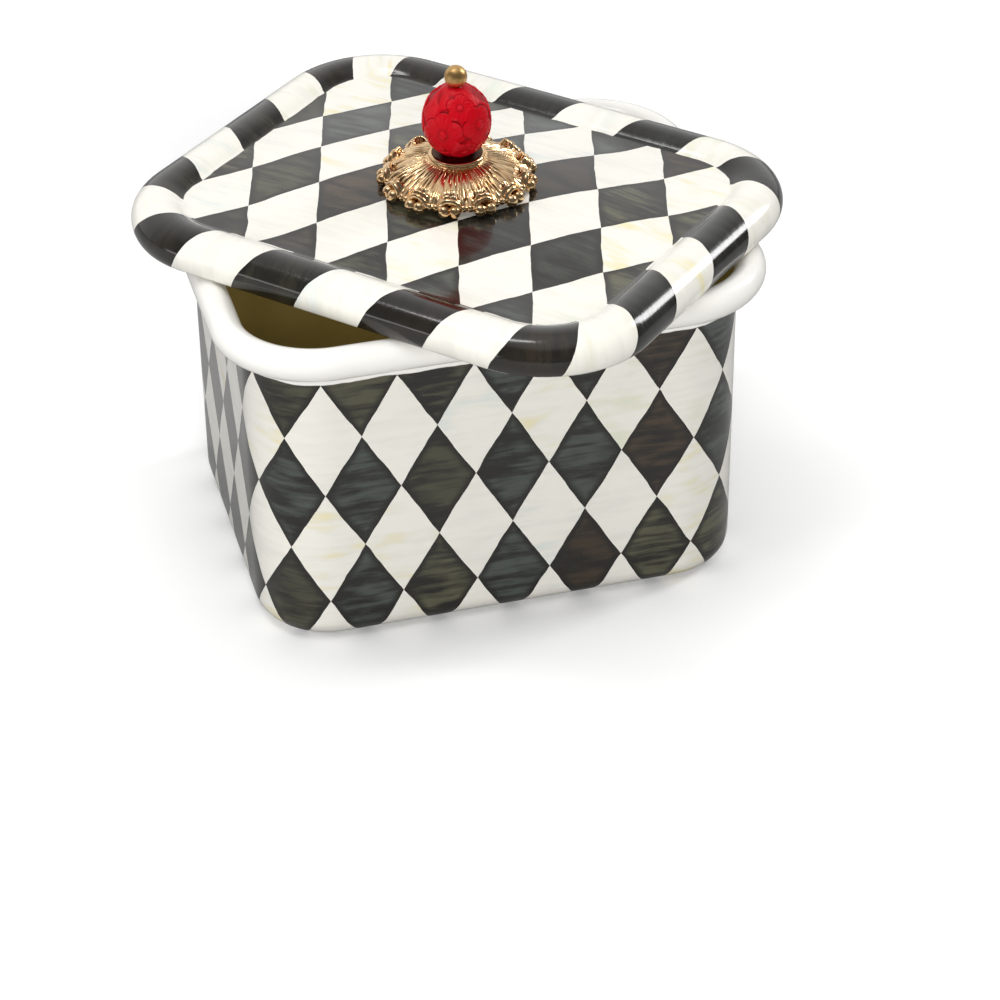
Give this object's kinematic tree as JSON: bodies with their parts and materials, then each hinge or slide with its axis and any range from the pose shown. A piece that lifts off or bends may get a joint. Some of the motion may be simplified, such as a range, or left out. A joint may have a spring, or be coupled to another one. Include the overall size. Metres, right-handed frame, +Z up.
{
  "type": "recipe box",
  "caption": "Enamelled steel box for recipe cards, with a rolled rim and a loose lid that has a carved bead knob on a cast rosette.",
  "frame": {"origin": "middle of the tub's flat underside", "axes": "+Z up; the tub's long front wall faces -Y and its width runs along X; the lid lies askew, turned 47 degrees clockwise seen from above, as pictured"},
  "size_m": [0.2102, 0.212, 0.1702],
  "materials": {
    "tub_enamel": "glossy ivory enamel, hand-painted in black, olive brown inside",
    "lid_enamel": "glossy black and ivory enamel, hand-painted",
    "gilt_brass": "cast, gilt, dark in the grooves",
    "aged_brass": "aged satin brass",
    "red_bead": "satin red, carved",
    "zinc_steel": "bright zinc plate",
    "black_rubber": "matt"
  },
  "bodies": {
    "tub": {"tub": "tub_enamel"},
    "knob_bolt": {"threaded_rod": "zinc_steel", "hex_nut": "zinc_steel", "lock_washer": "zinc_steel", "flat_washer": "zinc_steel", "under_gasket": "black_rubber"},
    "lid": {"lid": "lid_enamel", "rosette": "gilt_brass", "bead_cup": "aged_brass", "carved_bead": "red_bead", "finial_ball": "aged_brass"}
  },
  "joints": [
    {"name": "lid_lift", "type": "slide", "parent": "tub", "child": "knob_bolt", "axis": [0, 0, 1], "range_m": [0, 0.1]},
    {"name": "lid_turn", "type": "hinge", "parent": "knob_bolt", "child": "lid", "pos_m": [0, 0, 0.12], "axis": [0, 0, 1], "range_deg": [-133, 47]}
  ]
}
